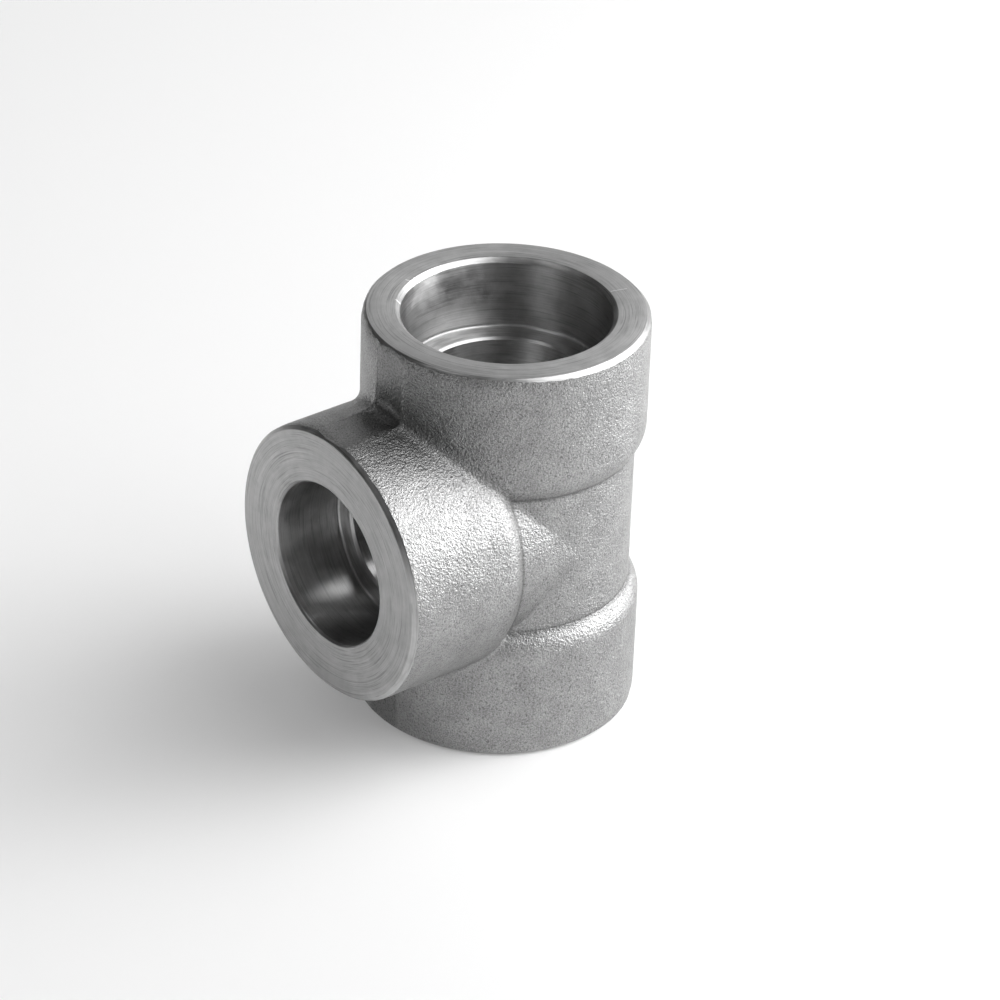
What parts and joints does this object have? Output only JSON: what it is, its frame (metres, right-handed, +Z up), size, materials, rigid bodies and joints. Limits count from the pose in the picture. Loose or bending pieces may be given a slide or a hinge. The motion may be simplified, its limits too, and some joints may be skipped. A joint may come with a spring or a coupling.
{
  "type": "socket weld reducing tee",
  "caption": "Forged steel pipe tee with equal round collars, two run sockets in line and a smaller branch socket at right angles.",
  "frame": {"origin": "centre of the run's lower end face, on the run's axis", "axes": "+Z up along the run's axis, +X along the branch's axis towards its mouth, +Y across the parting plane"},
  "size_m": [0.0579, 0.0462, 0.07],
  "materials": {
    "forged_steel": "shot blasted forged skin, with turned end faces and bored sockets"
  },
  "bodies": {
    "root": {"tee_body": "forged_steel"}
  },
  "joints": []
}
